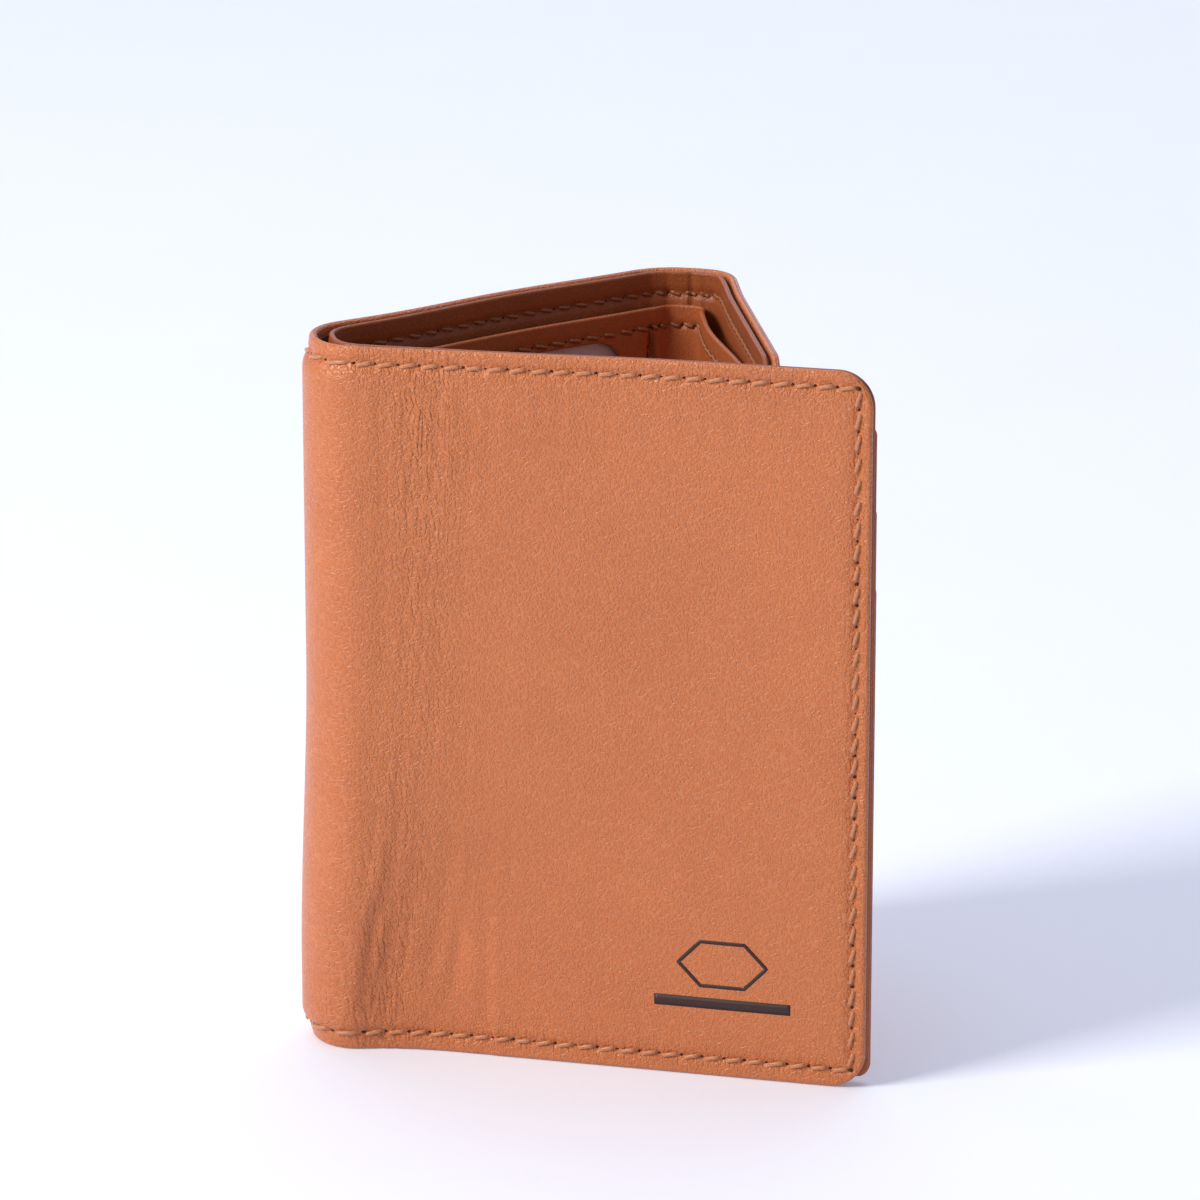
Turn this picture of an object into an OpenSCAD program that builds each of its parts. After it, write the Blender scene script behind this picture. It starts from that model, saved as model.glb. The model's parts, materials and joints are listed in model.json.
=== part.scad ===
// Trifold wallet, standing half open on its bottom edges, in millimetres.
// Going round the wallet the panels are flap, fold strip, middle panel, spine strip and
// cover. Each bends against the next about an upright line on the leather's outer face.
// The cover's outer face looks towards -Y, and the wallet stands on z = 0.

/* [Panels] */
// Height of the wallet, along its folds
wallet_h = 110; // [80:1:140]
// Width of the cover, from its bend line to its free edge
cover_w = 80.8; // [67:0.2:100]
// Width of the spine strip, between its two bend lines
spine_w = 7.6; // [6:0.1:12]
// Width of the middle panel, between its bend lines
middle_w = 66; // [55:0.5:80]
// Radius of the cover's and the flap's free corners
corner_r = 5.5; // [2:0.5:8]

/* [Bends as it stands] */
// Bend at each edge of the spine strip, in degrees
spine_bend = 61.5; // [56:0.5:66]
// Bend between the middle panel and the fold strip, in degrees
middle_bend = 56; // [50:1:62]
// Bend between the fold strip and the flap, in degrees
flap_bend = 70; // [64:1:76]

/* [Leather and lining] */
// Outer leather, with its turned edge
shell_t = 1.2; // [0.8:0.1:1.6]
// Taffeta lining of the bill compartment
lining_t = 0.25; // [0.15:0.05:0.4]
// Room for notes between the lining and the inner wall
bill_gap = 0.3; // [0.2:0.05:0.6]
// Inner wall of the bill compartment
wall_t = 0.8; // [0.5:0.1:1.1]
// How far the inner wall's top edge sits below the outer leather's
wall_drop = 1; // [0.5:0.5:3]
// How far the lining stops short of the outer edges
lining_inset = 1.5; // [1:0.5:4]

/* [Pockets] */
// Leather of one card slot on the cover
slot_t = 0.45; // [0.3:0.05:0.6]
// Top edge of the highest slot, below the top of the wallet
slot_drop = 8; // [5:1:20]
// Step from one slot's top edge to the next
slot_step = 12; // [8:1:16]
// Leather of the window pocket and of the slip pocket
pocket_t = 0.8; // [0.5:0.1:1.1]
// Top edge of the window pocket and slip pocket, below the top of the wallet
pocket_drop = 5.3; // [3:0.1:10]
// Window opening's top edge, below the pocket's top edge
window_drop = 4.2; // [3:0.1:8]
// Leather left beside the window opening, inside each side seam
window_border = 4.5; // [3:0.25:8]
// Foot of the window opening, above the foot of the wallet
window_foot = 18.5; // [12:0.5:30]
// Radius of the window opening's corners
window_r = 6; // [2:0.5:8]
// Thickness of the clear window pane
pane_t = 0.25; // [0.2:0.05:0.4]
// How far the pane reaches under the leather, all round the opening
pane_lap = 2; // [1.5:0.5:3]

/* [Filler card] */
// Play between each side of the card and the pocket's side seams
card_side_play = 1.5; // [1:0.25:3]
// Thickness of the blank card
card_t = 0.4; // [0.3:0.05:0.8]
// Play between the card and the faces in front of it and behind it
card_play = 0.3; // [0.2:0.05:0.5]

/* [Stitching] */
// Distance from one stitch to the next
stitch_pitch = 3.3; // [2.5:0.1:5]
// Length of the thread that shows in one stitch
stitch_len = 1.9; // [1.5:0.1:3]
// Thickness of the thread
thread_d = 0.5; // [0.4:0.05:0.8]
// Height of the thread above the leather
thread_rise = 0.3; // [0.2:0.05:0.4]
// Distance of the stitch line from the edge
stitch_inset = 2.5; // [2:0.1:6]

/* [Clearances] */
// Play on each side of a bend line
bend_gap = 0.15; // [0.1:0.05:0.3]
// Clear space past the cover's pockets as the flap swings in
flap_clear = 0.5; // [0.3:0.1:2]
// Room left between the flap, folded in, and the window pocket
fold_clear = 1.4; // [0.8:0.1:4]
// How far the flap folds in past the way it stands, in degrees
flap_fold = 54; // [40:1:54]

/* [Hidden] */
$fn = 48;
eps = 0.01;
slot_count = 3;

// Depths below the outer face, counted inwards
lining_n = shell_t + lining_t;
wall_n = lining_n + bill_gap;
inner_n = wall_n + wall_t;
slots_n = inner_n + slot_count * slot_t;
face_n = inner_n + thread_rise;
card_n = inner_n + card_play;
pane_n = card_n + card_t + card_play;
window_n = pane_n + pane_t;

// Each panel's heading in plan, and the bend lines between the panels
function heading(a) = [cos(a), sin(a)];
cover_a = 0;
spine_a = cover_a - spine_bend;
middle_a = spine_a - spine_bend;
fold_a = middle_a - middle_bend;
flap_a = fold_a - flap_bend;
cover_line = [0, 0];
// The fold strip is wide enough for the flap to lie on the window pocket, folded in
fold_w = (window_n + inner_n + 2 * pocket_t + 2 * thread_rise + fold_clear) / sin(middle_bend);
spine_line = cover_line - spine_w * heading(spine_a);
middle_line = spine_line - middle_w * heading(middle_a);
flap_line = middle_line - fold_w * heading(fold_a);
// The flap is as long as its swing past the cover's pockets leaves room for
flap_w = flap_line.y - slots_n - flap_clear;
flap_end = flap_line - flap_w * heading(flap_a);
// The origin lies under the middle of the wallet's box
centre = [(spine_line.x + cover_w) / 2, flap_line.y / 2];

// How far a layer is cut back for each millimetre of depth, at its bend lines
spine_cut = tan(spine_bend / 2);
middle_cut = tan(middle_bend / 2);
flap_cut = tan((flap_bend + flap_fold) / 2);

// Heights
wall_top = wallet_h - wall_drop;
pocket_top = wallet_h - pocket_drop;
pocket_foot = 1;
window_top = pocket_top - window_drop;
window_h = window_top - window_foot;
seam_w = 3;
// The slots, the window pocket and the slip pocket along their panels
slots_start = slots_n * spine_cut + 4;
slots_w = cover_w - slots_start - 0.8;
window_pocket_end = middle_w - window_n * spine_cut - 1;
window_pocket_start = (window_n + pocket_t) * middle_cut + bend_gap;
window_mid = (window_pocket_start + window_pocket_end) / 2;
seams_apart = window_pocket_end - window_pocket_start - 2 * seam_w;
window_w = seams_apart - 2 * window_border;
card_w = seams_apart - 2 * card_side_play;
card_foot = pocket_foot + seam_w + card_play;
card_h = window_top - card_foot;
flap_pocket_end = flap_w - (inner_n + pocket_t) * flap_cut - bend_gap;

leather = "#c57855";
inside_leather = "#8a4f35";
lining = "#4a3226";
thread = "#e0a078";

// Puts a panel's own frame on its bend line: x along the panel, y inwards, z up
module on_panel(line, a)
    translate([line.x - centre.x, line.y - centre.y, 0])
        rotate([0, 0, a])
            children();

module on_cover() on_panel(cover_line, cover_a) children();
module on_spine() on_panel(spine_line, spine_a) children();
module on_middle() on_panel(middle_line, middle_a) children();
module on_fold() on_panel(flap_line, fold_a) children();
module on_flap() on_panel(flap_end, flap_a) children();

// One flat layer from depth n0 to n1, from x0 to x1, whose ends are cut back with depth
module layer(x0, x1, n0, n1, z0, z1, cut0 = 0, cut1 = 0)
    translate([0, 0, z0])
        linear_extrude(z1 - z0)
            polygon([[x0 + n0 * cut0, n0], [x1 - n0 * cut1, n0],
                     [x1 - n1 * cut1, n1], [x0 + n1 * cut0, n1]]);

// Upright outline with both corners at its far end rounded, as a block through the layers
module free_end(x1, r, z1)
    translate([0, inner_n + 1, 0])
        rotate([90, 0, 0])
            linear_extrude(inner_n + 2) {
                translate([-1, 0])
                    square([x1 - r + 1, z1]);
                translate([x1 - r - eps, r])
                    square([r + eps, z1 - 2 * r]);
                for (z = [r, z1 - r])
                    translate([x1 - r, z])
                        circle(r);
            }

// The same outline with its rounded corners at x = 0
module free_start(x1, r, z1)
    translate([x1, 0, 0])
        mirror([1, 0, 0])
            free_end(x1, r, z1);

// One stitch, lying on depth n and leaning as sewn thread does
module stitch(x, n, z, side, turn)
    translate([x, n, z])
        rotate([0, turn + 8, 0])
            translate([-stitch_len / 2, side < 0 ? -thread_rise : 0, -thread_d / 2])
                cube([stitch_len, thread_rise, thread_d]);

// A level row of stitches from x0 to x1; side -1 lies outside a face, 1 inside it
module stitch_row(x0, x1, n, z, side) {
    count = max(1, round((x1 - x0) / stitch_pitch));
    pitch = (x1 - x0) / count;
    for (i = [0:count - 1])
        stitch(x0 + (i + 0.5) * pitch, n, z, side, 0);
}

// An upright row of stitches from z0 to z1
module stitch_column(x, n, z0, z1, side) {
    count = max(1, round((z1 - z0) / stitch_pitch));
    pitch = (z1 - z0) / count;
    for (i = [0:count - 1])
        stitch(x, n, z0 + (i + 0.5) * pitch, side, 90);
}

// Rows near the top and the bottom edge of a panel's outer face
module edge_rows(x0, x1)
    for (z = [stitch_inset, wallet_h - stitch_inset])
        stitch_row(x0, x1, 0, z, -1);

// The inner wall's own row, under its top edge
module wall_row(x0, x1)
    stitch_row(x0, x1, inner_n, wallet_h - stitch_inset, 1);

module cover_shell() color(leather) on_cover() intersection() {
    layer(bend_gap, cover_w, 0, shell_t, 0, wallet_h, spine_cut);
    free_end(cover_w, corner_r, wallet_h);
}

module cover_bill_lining() color(lining) on_cover()
    layer(bend_gap, cover_w - lining_inset, shell_t, lining_n,
          lining_inset, wallet_h - lining_inset, spine_cut);

module cover_inner_wall() color(inside_leather) on_cover() intersection() {
    layer(bend_gap, cover_w, wall_n, inner_n, 0, wall_top, spine_cut);
    free_end(cover_w, corner_r, wall_top);
}

// Card slot number i, counted from the wall inwards: each is lower than the last
module cover_slot(i) color(inside_leather) on_cover()
    layer(slots_start, slots_start + slots_w, inner_n + i * slot_t, inner_n + (i + 1) * slot_t,
          pocket_foot, wallet_h - slot_drop - i * slot_step);

module cover_thread() color(thread) on_cover() {
    edge_rows(bend_gap + 1, cover_w - stitch_inset);
    stitch_column(cover_w - stitch_inset, 0, stitch_inset + stitch_pitch / 2,
                  wallet_h - stitch_inset - stitch_pitch / 2, -1);
    wall_row(slots_start, cover_w - stitch_inset);
}

// The seam that holds the slots, on the innermost one
module cover_slot_thread() color(thread) on_cover() {
    slots_top = wallet_h - slot_drop - (slot_count - 1) * slot_step;
    for (x = [slots_start + seam_w, slots_start + slots_w - seam_w])
        stitch_column(x, slots_n, stitch_inset + stitch_pitch, slots_top - 2, 1);
    stitch_row(slots_start + seam_w, slots_start + slots_w - seam_w, slots_n, stitch_inset, 1);
}

module spine_shell() color(leather) on_spine()
    layer(bend_gap, spine_w - bend_gap, 0, shell_t, 0, wallet_h, spine_cut, spine_cut);

module spine_bill_lining() color(lining) on_spine()
    layer(bend_gap, spine_w - bend_gap, shell_t, lining_n,
          lining_inset, wallet_h - lining_inset, spine_cut, spine_cut);

module spine_inner_wall() color(inside_leather) on_spine()
    layer(bend_gap, spine_w - bend_gap, wall_n, inner_n, 0, wall_top, spine_cut, spine_cut);

module spine_thread() color(thread) on_spine() {
    edge_rows(bend_gap + 0.4, spine_w - bend_gap - 0.4);
    wall_row(face_n * spine_cut + 0.4, spine_w - face_n * spine_cut - 0.4);
}

module middle_shell() color(leather) on_middle()
    layer(bend_gap, middle_w - bend_gap, 0, shell_t, 0, wallet_h, middle_cut, spine_cut);

module middle_bill_lining() color(lining) on_middle()
    layer(bend_gap, middle_w - bend_gap, shell_t, lining_n,
          lining_inset, wallet_h - lining_inset, middle_cut, spine_cut);

module middle_inner_wall() color(inside_leather) on_middle()
    layer(bend_gap, middle_w - bend_gap, wall_n, inner_n, 0, wall_top, middle_cut, spine_cut);

// Window pocket: a framed front whose seams stand on the wall round the card, open at the top
module window_pocket() color(inside_leather) on_middle() {
    difference() {
        layer(window_pocket_start, window_pocket_end, window_n, window_n + pocket_t,
              pocket_foot, pocket_top);
        window_opening();
    }
    layer(window_pocket_start, window_pocket_start + seam_w, inner_n, window_n,
          pocket_foot, pocket_top);
    layer(window_pocket_end - seam_w, window_pocket_end, inner_n, window_n,
          pocket_foot, pocket_top);
    layer(window_pocket_start + seam_w, window_pocket_end - seam_w, inner_n, window_n,
          pocket_foot, pocket_foot + seam_w);
}

// The opening's rounded outline, cut right through the pocket's front
module window_opening()
    translate([window_mid, window_n + pocket_t + 1, window_foot])
        rotate([90, 0, 0])
            linear_extrude(pocket_t + 2) {
                translate([-window_w / 2, window_r])
                    square([window_w, window_h - 2 * window_r]);
                translate([-window_w / 2 + window_r, 0])
                    square([window_w - 2 * window_r, window_h]);
                for (x = [-1, 1], z = [window_r, window_h - window_r])
                    translate([x * (window_w / 2 - window_r), z])
                        circle(window_r);
            }

module window_pane() color("#c8ccd8") on_middle()
    layer(window_mid - window_w / 2 - pane_lap, window_mid + window_w / 2 + pane_lap,
          pane_n, window_n, window_foot - pane_lap, window_top + pane_lap);

module middle_thread() color(thread) on_middle() {
    edge_rows(bend_gap + 1, middle_w - bend_gap - 1);
    wall_row(face_n * middle_cut + 1, middle_w - face_n * spine_cut - 1);
}

// Seam round the window pocket's sides and foot, and under its top edge
module window_thread() color(thread) on_middle() {
    face = window_n + pocket_t;
    half_seam = seam_w / 2;
    for (x = [window_pocket_start + half_seam, window_pocket_end - half_seam])
        stitch_column(x, face, stitch_inset + stitch_pitch, pocket_top - seam_w - 1, 1);
    for (z = [stitch_inset, pocket_top - half_seam])
        stitch_row(window_pocket_start + half_seam, window_pocket_end - half_seam, face, z, 1);
}

module filler_card() color("#f0eef0") on_middle()
    layer(window_mid - card_w / 2, window_mid + card_w / 2, card_n, card_n + card_t,
          card_foot, card_foot + card_h);

module fold_shell() color(leather) on_fold()
    layer(bend_gap, fold_w - bend_gap, 0, shell_t, 0, wallet_h, flap_cut, middle_cut);

module fold_bill_lining() color(lining) on_fold()
    layer(bend_gap, fold_w - bend_gap, shell_t, lining_n,
          lining_inset, wallet_h - lining_inset, flap_cut, middle_cut);

module fold_inner_wall() color(inside_leather) on_fold()
    layer(bend_gap, fold_w - bend_gap, wall_n, inner_n, 0, wall_top, flap_cut, middle_cut);

// The slip pocket's leather carries on round the fold
module fold_pocket() color(inside_leather) on_fold()
    layer(bend_gap, fold_w - bend_gap, inner_n, inner_n + pocket_t,
          pocket_foot, pocket_top, flap_cut, middle_cut);

module fold_thread() color(thread) on_fold() {
    edge_rows(bend_gap + 0.6, fold_w - bend_gap - 0.6);
    wall_row(face_n * flap_cut + 0.4, fold_w - face_n * middle_cut - 0.4);
}

module flap_shell() color(leather) on_flap() intersection() {
    layer(0, flap_w - bend_gap, 0, shell_t, 0, wallet_h, 0, flap_cut);
    free_start(flap_w, corner_r, wallet_h);
}

module flap_bill_lining() color(lining) on_flap()
    layer(lining_inset, flap_w - bend_gap, shell_t, lining_n,
          lining_inset, wallet_h - lining_inset, 0, flap_cut);

module flap_inner_wall() color(inside_leather) on_flap() intersection() {
    layer(0, flap_w - bend_gap, wall_n, inner_n, 0, wall_top, 0, flap_cut);
    free_start(flap_w, corner_r, wall_top);
}

module flap_pocket() color(inside_leather) on_flap()
    layer(seam_w, flap_pocket_end, inner_n, inner_n + pocket_t, pocket_foot, pocket_top);

module flap_thread() color(thread) on_flap() {
    edge_rows(stitch_inset, flap_w - bend_gap - 1);
    stitch_column(stitch_inset, 0, stitch_inset + stitch_pitch / 2,
                  wallet_h - stitch_inset - stitch_pitch / 2, -1);
    wall_row(stitch_inset, flap_w - face_n * flap_cut - 1);
}

module flap_pocket_thread() color(thread) on_flap() {
    face = inner_n + pocket_t;
    stitch_column(seam_w + seam_w / 2, face, stitch_inset + stitch_pitch,
                  pocket_top - seam_w - 1, 1);
    for (z = [stitch_inset, pocket_top - seam_w / 2])
        stitch_row(seam_w + seam_w / 2, flap_pocket_end - 1, face, z, 1);
}

cover_shell();
cover_bill_lining();
cover_inner_wall();
cover_slot(0);  // cover_slot_top
cover_slot(1);  // cover_slot_middle
cover_slot(2);  // cover_slot_bottom
cover_thread();
cover_slot_thread();
spine_shell();
spine_bill_lining();
spine_inner_wall();
spine_thread();
middle_shell();
middle_bill_lining();
middle_inner_wall();
window_pocket();
window_pane();
middle_thread();
window_thread();
filler_card();
fold_shell();
fold_bill_lining();
fold_inner_wall();
fold_pocket();
fold_thread();
flap_shell();
flap_bill_lining();
flap_inner_wall();
flap_pocket();
flap_thread();
flap_pocket_thread();
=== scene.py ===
# %% [markdown]
# # A trifold leather wallet, half folded and standing on its edge
# The wallet is a stack of thin leather and cloth layers. Each layer runs round three folds, so
# the heart of this lesson is one small map that takes a flat layer and folds it. Every leaf,
# pocket, stitch and wrinkle is drawn on the flat layer first and folded last, as a maker cuts
# and sews it flat.

import json
import math

import bpy
import numpy as np
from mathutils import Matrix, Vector


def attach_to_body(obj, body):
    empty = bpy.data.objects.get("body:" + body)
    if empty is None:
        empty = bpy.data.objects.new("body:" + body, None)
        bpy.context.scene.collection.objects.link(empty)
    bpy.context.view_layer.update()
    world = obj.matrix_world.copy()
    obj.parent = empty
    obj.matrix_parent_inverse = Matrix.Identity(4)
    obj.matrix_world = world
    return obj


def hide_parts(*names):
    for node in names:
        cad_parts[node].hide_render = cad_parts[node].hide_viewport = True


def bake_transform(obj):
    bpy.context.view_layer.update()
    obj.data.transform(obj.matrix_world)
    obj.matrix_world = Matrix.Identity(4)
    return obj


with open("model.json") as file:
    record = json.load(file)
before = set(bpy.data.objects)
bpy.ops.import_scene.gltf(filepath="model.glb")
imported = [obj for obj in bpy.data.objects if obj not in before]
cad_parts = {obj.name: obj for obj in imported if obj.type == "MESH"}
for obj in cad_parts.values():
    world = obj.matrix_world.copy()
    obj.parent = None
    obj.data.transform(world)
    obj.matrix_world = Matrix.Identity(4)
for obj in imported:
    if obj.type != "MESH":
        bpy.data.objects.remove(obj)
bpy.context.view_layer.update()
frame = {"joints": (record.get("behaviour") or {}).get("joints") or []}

# %% [markdown]
# ## Camera
# The view looks down on the wallet from a little to its right with a long lens, so its upright
# edges stay almost parallel. A camera needs a place, a point to look at and a lens; the track
# quaternion turns the camera's own -Z axis to the target and keeps +Y up.

# %% Camera
scene = bpy.context.scene
camera = bpy.data.objects.new("camera", bpy.data.cameras.new("camera"))
scene.collection.objects.link(camera)
scene.camera = camera
camera.location = (0.2202, -0.8565, 0.3131)
target = Vector((0.00141, -0.03112, 0.0731))
camera.rotation_mode = "QUATERNION"
camera.rotation_quaternion = (target - camera.location).to_track_quat("-Z", "Y")
camera.data.lens = 180
camera.data.sensor_width = 36
camera.data.clip_start = 0.01
camera.data.dof.use_dof = False
scene.view_settings.view_transform = "Standard"
print("camera is", round((target - camera.location).length, 3), "m away")

# %% [markdown]
# ## Node helper
# A material is a small graph of nodes. One function adds a node, sets its settings and its
# inputs, and links any input that is given another node's output. Colours are written as the
# sRGB hex values one reads off a picture, so one function turns them into linear light.


# %% Node helper and colours
def add(tree, kind, settings=None, **inputs):
    """Adds one node. settings are its properties; inputs are values or sockets by name (_ is a space)."""
    node = tree.nodes.new(kind)
    for key, value in (settings or {}).items():
        setattr(node, key, value)
    for key, value in inputs.items():
        name = key.replace("_", " ")
        sock = node.inputs[int(name[1:])] if name[0] == "i" and name[1:].isdigit() else node.inputs[name]
        if isinstance(value, bpy.types.NodeSocket):
            tree.links.new(value, sock)
        else:
            sock.default_value = value
    return node


def srgb(text):
    """Linear RGBA of an sRGB hex colour: each channel c becomes ((c+0.055)/1.055)^2.4, or c/12.92 if dark."""
    c = [int(text[i : i + 2], 16) / 255 for i in (0, 2, 4)]
    return [x / 12.92 if x <= 0.04045 else ((x + 0.055) / 1.055) ** 2.4 for x in c] + [1.0]


def material(name):
    """A new node material with a Principled shader already joined to its output."""
    made = bpy.data.materials.new(name)
    made.use_nodes = True
    tree = made.node_tree
    tree.nodes.clear()
    shader = add(tree, "ShaderNodeBsdfPrincipled")
    out = add(tree, "ShaderNodeOutputMaterial", Surface=shader.outputs[0])
    return made, tree, shader


print("tan leather in linear light:", [round(x, 3) for x in srgb("C57855")])

# %% [markdown]
# ## Leather
# This is full-grain cowhide, tanned with bark and finished with a light wax: warm tan, darker
# where the light leaves it, with a fine pebble of pores a third of a millimetre across. Pores
# are cells, so Voronoi cells drawn over soft noise give the pebble, and a second noise, long
# and thin, draws the stretch lines. All of it reads the layer's own flat coordinates, kept in
# the attribute `flat` in millimetres, so the grain bends with the fold and never swims.


# %% Leather material
def cracks(tree, where, size, width, amount):
    """Grooves between Voronoi cells of this size (cells per mm): 0 in the groove, amount on the cells between."""
    cells = add(tree, "ShaderNodeMapping", Vector=where, Scale=size)
    edge = add(tree, "ShaderNodeTexVoronoi", {"feature": "DISTANCE_TO_EDGE"}, Vector=cells.outputs[0], Scale=1.0)
    groove = add(tree, "ShaderNodeMapRange", {"interpolation_type": "SMOOTHSTEP"}, Value=edge.outputs["Distance"], From_Max=width)
    depth = add(tree, "ShaderNodeMath", {"operation": "MULTIPLY"}, i0=groove.outputs[0], i1=amount)
    return groove.outputs[0], depth.outputs[0]


def leather(name, light, dark, grain=0.1, rough=0.32, crackle=0.09, least=0.6, gloss=0.2):
    """Tanned leather: two tones mixed by noise, pebble, polygons of fine cracks and long folds as bump, and a coat of wax."""
    made, tree, shader = material(name)
    flat = add(tree, "ShaderNodeAttribute", {"attribute_name": "flat"}).outputs["Vector"]
    creased = add(tree, "ShaderNodeAttribute", {"attribute_name": "crease"}).outputs["Fac"]
    cloud = add(tree, "ShaderNodeTexNoise", Vector=flat, Scale=0.05, Detail=6.0, Roughness=0.7)
    mottle = add(tree, "ShaderNodeTexNoise", Vector=flat, Scale=1.6, Detail=4.0, Roughness=0.65)
    tone = add(tree, "ShaderNodeMath", {"operation": "ADD"}, i0=cloud.outputs[0], i1=mottle.outputs[0])
    ramp = add(tree, "ShaderNodeMapRange", Value=tone.outputs[0], From_Min=0.6, From_Max=1.4)
    mix = add(tree, "ShaderNodeMix", {"data_type": "RGBA"}, i0=ramp.outputs[0], i6=srgb(dark), i7=srgb(light))
    cells = add(tree, "ShaderNodeTexVoronoi", {"feature": "SMOOTH_F1"}, Vector=flat, Scale=2.6, Smoothness=0.3)
    fine = add(tree, "ShaderNodeTexNoise", Vector=flat, Scale=4.0, Detail=3.0, Roughness=0.6)
    pebble = add(tree, "ShaderNodeMath", {"operation": "MULTIPLY_ADD"}, i0=fine.outputs[0], i1=0.8, i2=cells.outputs["Distance"])
    first = add(tree, "ShaderNodeBump", Height=pebble.outputs[0], Strength=0.8, Distance=grain / 1000)
    bent = add(tree, "ShaderNodeTexNoise", Vector=flat, Scale=0.4, Detail=2.0)
    warp = add(tree, "ShaderNodeVectorMath", {"operation": "MULTIPLY_ADD"}, i0=bent.outputs["Color"], i1=(0.9, 0.9, 0.0), i2=flat)
    amount = add(tree, "ShaderNodeMapRange", Value=creased, To_Min=least, To_Max=1.0)
    groove, crack = cracks(tree, warp.outputs[0], (1.6, 1.15, 1.0), 0.17, amount.outputs[0])
    second = add(tree, "ShaderNodeBump", Height=crack, Strength=0.9, Distance=crackle / 1000, Normal=first.outputs[0])
    long_amount = add(tree, "ShaderNodeMath", {"operation": "POWER"}, i0=creased, i1=2.0)
    _, long_folds = cracks(tree, warp.outputs[0], (0.95, 0.17, 1.0), 0.3, long_amount.outputs[0])
    third = add(tree, "ShaderNodeBump", Height=long_folds, Strength=0.9, Distance=1.7 * crackle / 1000, Normal=second.outputs[0])
    # The grooves are mixed toward pale tan F2C49C: partly the real pull-up of waxed leather in its creases, partly a
    # painted highlight standing in for glints on the crack edges.
    pale = add(tree, "ShaderNodeMapRange", Value=groove, From_Max=0.5, To_Min=0.14 * least, To_Max=0.0)
    pullup_and_glint_tone = add(tree, "ShaderNodeMix", {"data_type": "RGBA"}, i0=pale.outputs[0], i6=mix.outputs[2], i7=srgb("F2C49C"))
    worn = add(tree, "ShaderNodeMapRange", Value=mottle.outputs[0], From_Min=0.3, From_Max=0.7, To_Min=rough - 0.05, To_Max=rough + 0.08)
    for name_, value in (("Base Color", pullup_and_glint_tone.outputs[2]), ("Normal", third.outputs[0]), ("Roughness", worn.outputs[0])):
        tree.links.new(value, shader.inputs[name_])
    shader.inputs["IOR"].default_value = 1.45
    shader.inputs["Coat Weight"].default_value = gloss
    shader.inputs["Coat Roughness"].default_value = 0.24
    tree.links.new(third.outputs[0], shader.inputs["Coat Normal"])
    return made


full_grain = leather("full_grain_leather_waxed", "D07840", "BE683A")
wall_hide = leather("lining_leather_split_smooth", "A45830", "904C28", grain=0.05, rough=0.4, crackle=0.06, least=0.1, gloss=0.05)
pocket_hide = leather("pocket_leather_thin_smooth", "B86438", "A25630", grain=0.05, rough=0.4, crackle=0.06, least=0.1, gloss=0.05)
print("leathers:", full_grain.name, wall_hide.name, pocket_hide.name)

# %% [markdown]
# ## Thread, cloth, card and window
# The thread is waxed polyester, three strands laid round one another, so its shine runs along
# the strands. The note compartment is lined with taffeta, a plain weave about a tenth of a
# millimetre a thread, drawn at a quarter of a millimetre so that it shows. The window is clear
# soft vinyl and the card behind it is white board.


# %% Small materials
def plain(name, light, dark, rough, scale, bump_mm, ior=1.5):
    """Any dull material: two tones mixed by noise at scale (per mm), with the same noise as bump."""
    made, tree, shader = material(name)
    flat = add(tree, "ShaderNodeAttribute", {"attribute_name": "flat"}).outputs["Vector"]
    noise = add(tree, "ShaderNodeTexNoise", Vector=flat, Scale=scale, Detail=3.0)
    mix = add(tree, "ShaderNodeMix", {"data_type": "RGBA"}, i0=noise.outputs[0], i6=srgb(dark), i7=srgb(light))
    bump = add(tree, "ShaderNodeBump", Height=noise.outputs[0], Strength=0.5, Distance=bump_mm / 1000)
    tree.links.new(mix.outputs[2], shader.inputs["Base Color"])
    tree.links.new(bump.outputs[0], shader.inputs["Normal"])
    shader.inputs["Roughness"].default_value = rough
    shader.inputs["IOR"].default_value = ior
    return made, tree, shader


thread, thread_tree, thread_shader = plain("waxed_polyester_thread_laid", "D79263", "AE6840", 0.36, 6.0, 0.03)
# The thread inside the wallet is a darker copy of the same thread: painted shade for the dim inside.
shaded_inner_thread, _, _ = plain("waxed_polyester_thread_painted_shade", "A5653F", "86502F", 0.42, 6.0, 0.03)
# The awl holes get a near-black material: painted shade standing in for the shadow inside each hole.
hole_shade_mat, _, _ = plain("awl_hole_painted_shade", "3E1D10", "30150B", 0.7, 4.0, 0.02)
thread_shader.inputs["Sheen Weight"].default_value = 0.25
card_board, _, _ = plain("white_card_board_coated", "F8F4FA", "EFEAF3", 0.5, 1.5, 0.004)
ink, _, _ = plain("dark_brown_ink_hot_stamped", "3A1D18", "2C1511", 0.5, 3.0, 0.02)
vinyl, vinyl_tree, vinyl_shader = plain("clear_soft_vinyl_calendered", "E6E2EC", "DCD8E6", 0.12, 0.05, 0.05)
vinyl_shader.inputs["Alpha"].default_value = 0.25
taffeta, tree, shader = plain("polyester_taffeta_plain_weave", "7E4A38", "6A3C2E", 0.6, 0.8, 0.01)
weave_in = add(tree, "ShaderNodeAttribute", {"attribute_name": "flat"}).outputs["Vector"]
warp = add(tree, "ShaderNodeTexWave", {"bands_direction": "X"}, Vector=weave_in, Scale=1.3)
weft = add(tree, "ShaderNodeTexWave", {"bands_direction": "Y"}, Vector=weave_in, Scale=1.3)
woven = add(tree, "ShaderNodeMath", {"operation": "MAXIMUM"}, i0=warp.outputs[1], i1=weft.outputs[1])
bump = add(tree, "ShaderNodeBump", Height=woven.outputs[0], Strength=0.6, Distance=0.00004)
tree.links.new(bump.outputs[0], shader.inputs["Normal"])
print("materials:", len(bpy.data.materials))

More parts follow.
